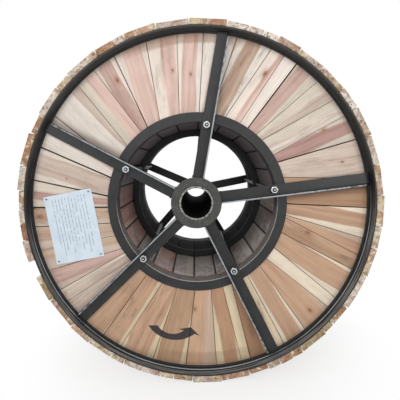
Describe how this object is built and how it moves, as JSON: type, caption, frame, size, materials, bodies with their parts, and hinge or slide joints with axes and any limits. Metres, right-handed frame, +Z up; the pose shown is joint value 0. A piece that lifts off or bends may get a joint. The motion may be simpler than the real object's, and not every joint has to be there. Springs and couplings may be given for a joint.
{
  "type": "steel and wood cable drum",
  "caption": "Cable drum with steel-framed wooden flanges, a stave barrel on an open steel hub tube, and nailed lagging battens round the rims.",
  "frame": {"origin": "on the arbor tube's axis, at the drum's mid width", "axes": "+Y along the arbor bore, from the lettered flange to the other; +Z up, with the drum standing on its battens"},
  "size_m": [1.0941, 0.6, 1.0929],
  "materials": {
    "black_steel": "black paint, satin",
    "zinc_steel": "zinc plated",
    "face_wood": "planed softwood",
    "lining_wood": "planed softwood",
    "stave_wood": "sawn softwood, greyed",
    "batten_wood": "sawn softwood"
  },
  "bodies": {
    "root": {"arbor_tube": "black_steel", "back_boards_1": "face_wood", "back_boards_2": "face_wood", "back_boards_3": "face_wood", "back_boards_4": "face_wood", "back_boards_5": "face_wood", "back_inner_ring": "black_steel", "back_lining": "lining_wood", "back_nuts": "zinc_steel", "back_rim": "black_steel", "back_spoke_1": "black_steel", "back_spoke_2": "black_steel", "back_spoke_3": "black_steel", "back_spoke_4": "black_steel", "back_spoke_5": "black_steel", "back_washers": "black_steel", "barrel_hoop": "black_steel", "barrel_staves": "stave_wood", "front_boards_1": "face_wood", "front_boards_2": "face_wood", "front_boards_3": "face_wood", "front_boards_4": "face_wood", "front_boards_5": "face_wood", "front_collar": "black_steel", "front_inner_ring": "black_steel", "front_lining": "lining_wood", "front_nuts": "zinc_steel", "front_rim": "black_steel", "front_spoke_1": "black_steel", "front_spoke_2": "black_steel", "front_spoke_3": "black_steel", "front_spoke_4": "black_steel", "front_spoke_5": "black_steel", "front_washers": "black_steel", "lagging_battens_1": "batten_wood", "lagging_battens_2": "batten_wood", "lagging_battens_3": "batten_wood", "lagging_battens_4": "batten_wood", "lagging_battens_5": "batten_wood", "tie_rod_1": "black_steel", "tie_rod_2": "black_steel", "tie_rod_3": "black_steel", "tie_rod_4": "black_steel", "tie_rod_5": "black_steel"}
  },
  "joints": []
}
